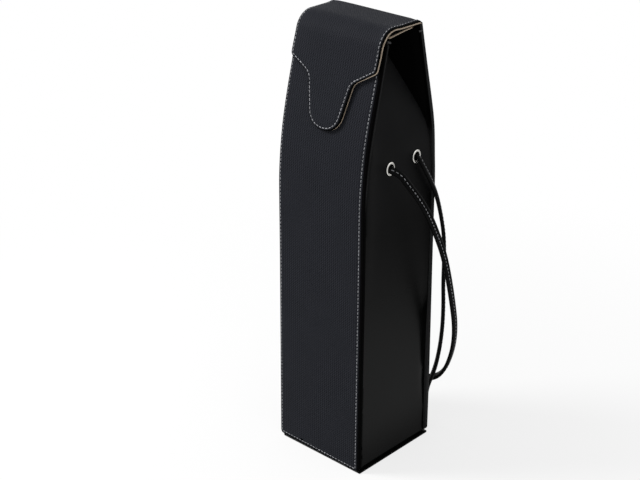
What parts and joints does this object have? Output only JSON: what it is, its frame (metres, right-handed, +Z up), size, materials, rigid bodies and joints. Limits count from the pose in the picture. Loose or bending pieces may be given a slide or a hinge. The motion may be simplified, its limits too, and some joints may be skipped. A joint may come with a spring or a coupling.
{
  "type": "bottle carrier",
  "caption": "Tall square bottle carrier of stitched black leatherette, tapering to a fold-over flap with a rounded tongue, with eyelets and a carrying cord on the side.",
  "frame": {"origin": "centre of the underside of the base", "axes": "+Z up along the height, front panel faces -Y, the side with the carrying cord faces +X"},
  "size_m": [0.1082, 0.1113, 0.3735],
  "materials": {
    "textured_leatherette": "fine cross-hatched grain, satin",
    "smooth_leatherette": "smooth satin",
    "cord_leatherette": "smooth, stitched along its length",
    "tan_suede": "short nap",
    "grey_board": "raw board",
    "bright_nickel": "polished nickel plate",
    "magnet_steel": "zinc plate"
  },
  "bodies": {
    "body": {"base_cover": "smooth_leatherette", "base_board": "grey_board", "base_lining": "tan_suede", "front_lower_cover": "textured_leatherette", "front_lower_board": "grey_board", "front_lower_lining": "tan_suede", "back_lower_cover": "textured_leatherette", "back_lower_board": "grey_board", "back_lower_lining": "tan_suede", "right_gusset_cover": "smooth_leatherette", "right_gusset_board": "grey_board", "right_gusset_lining": "tan_suede", "left_gusset_cover": "smooth_leatherette", "left_gusset_board": "grey_board", "left_gusset_lining": "tan_suede", "right_front_eyelet": "bright_nickel", "right_front_washer": "bright_nickel", "right_rear_eyelet": "bright_nickel", "right_rear_washer": "bright_nickel", "left_front_eyelet": "bright_nickel", "left_front_washer": "bright_nickel", "left_rear_eyelet": "bright_nickel", "left_rear_washer": "bright_nickel", "front_cord_tail": "cord_leatherette", "rear_cord_tail": "cord_leatherette"},
    "front_upper": {"front_upper_cover": "textured_leatherette", "front_upper_board": "grey_board", "front_upper_lining": "tan_suede", "panel_magnet": "magnet_steel"},
    "back_upper": {"back_upper_cover": "textured_leatherette", "back_upper_board": "grey_board", "back_upper_lining": "tan_suede", "rear_fold_cover": "textured_leatherette", "rear_fold_lining": "tan_suede"},
    "lid": {"lid_cover": "textured_leatherette", "lid_board": "grey_board", "lid_lining": "tan_suede", "front_fold_cover": "textured_leatherette", "front_fold_lining": "tan_suede"},
    "tongue": {"tongue_cover": "textured_leatherette", "tongue_lining": "tan_suede", "tongue_magnet": "magnet_steel"},
    "handle": {"handle_cord": "cord_leatherette"},
    "right_fold": {"right_fold_cover": "smooth_leatherette", "right_fold_lining": "tan_suede"},
    "left_fold": {"left_fold_cover": "smooth_leatherette", "left_fold_lining": "tan_suede"},
    "right_front_pleat": {"right_front_pleat": "smooth_leatherette"},
    "right_rear_pleat": {"right_rear_pleat": "smooth_leatherette"},
    "left_front_pleat": {"left_front_pleat": "smooth_leatherette"},
    "left_rear_pleat": {"left_rear_pleat": "smooth_leatherette"}
  },
  "joints": [
    {"name": "lid_hinge", "type": "hinge", "parent": "back_upper", "child": "lid", "pos_m": [0, 0.01798, 0.3724], "axis": [-1, 0, 0], "range_deg": [0, 200], "deforming": ["rear_fold_cover", "rear_fold_lining"]},
    {"name": "tongue_fold", "type": "hinge", "parent": "lid", "child": "tongue", "pos_m": [0, -0.02019, 0.36954], "axis": [-1, 0, 0], "range_deg": [0, 90], "deforming": ["front_fold_cover", "front_fold_lining"]},
    {"name": "front_mouth", "type": "hinge", "parent": "body", "child": "front_upper", "pos_m": [0, -0.04236, 0.25994], "axis": [1, 0, 0], "range_deg": [0, 12]},
    {"name": "back_mouth", "type": "hinge", "parent": "body", "child": "back_upper", "pos_m": [0, 0.04236, 0.25994], "axis": [-1, 0, 0], "range_deg": [0, 12]},
    {"name": "right_gusset_fold", "type": "hinge", "parent": "body", "child": "right_fold", "pos_m": [0.0433, 0, 0.2803], "axis": [0, 1, 0], "range_deg": [0, 19.32]},
    {"name": "left_gusset_fold", "type": "hinge", "parent": "body", "child": "left_fold", "pos_m": [-0.0433, 0, 0.2803], "axis": [0, -1, 0], "range_deg": [0, 19.32]},
    {"name": "right_front_pleat_fold", "type": "hinge", "parent": "front_upper", "child": "right_front_pleat", "pos_m": [0.0433, -0.03435, 0.2803], "axis": [0, -0.2155, -0.9765], "range_deg": [0, 60.27], "deforming": ["right_front_pleat"]},
    {"name": "right_rear_pleat_fold", "type": "hinge", "parent": "back_upper", "child": "right_rear_pleat", "pos_m": [0.0433, 0.03435, 0.2803], "axis": [0, -0.2155, 0.9765], "range_deg": [0, 60.27], "deforming": ["right_rear_pleat"]},
    {"name": "left_front_pleat_fold", "type": "hinge", "parent": "front_upper", "child": "left_front_pleat", "pos_m": [-0.0433, -0.03435, 0.2803], "axis": [0, 0.2155, 0.9765], "range_deg": [0, 60.27], "deforming": ["left_front_pleat"]},
    {"name": "left_rear_pleat_fold", "type": "hinge", "parent": "back_upper", "child": "left_rear_pleat", "pos_m": [-0.0433, 0.03435, 0.2803], "axis": [0, 0.2155, -0.9765], "range_deg": [0, 60.27], "deforming": ["left_rear_pleat"]},
    {"name": "handle_swing", "type": "hinge", "parent": "body", "child": "handle", "pos_m": [0.0444, 0.00435, 0.2625], "axis": [0, -1, 0], "range_deg": [0, 140], "deforming": ["handle_cord"]}
  ],
  "couplings": [
    {"joint": "front_mouth", "follows": "lid_hinge", "ratio": 0.06},
    {"joint": "back_mouth", "follows": "lid_hinge", "ratio": 0.06},
    {"joint": "right_gusset_fold", "follows": "lid_hinge", "ratio": 0.0966},
    {"joint": "left_gusset_fold", "follows": "lid_hinge", "ratio": 0.0966},
    {"joint": "right_front_pleat_fold", "follows": "lid_hinge", "ratio": 0.30135},
    {"joint": "right_rear_pleat_fold", "follows": "lid_hinge", "ratio": 0.30135},
    {"joint": "left_front_pleat_fold", "follows": "lid_hinge", "ratio": 0.30135},
    {"joint": "left_rear_pleat_fold", "follows": "lid_hinge", "ratio": 0.30135}
  ]
}
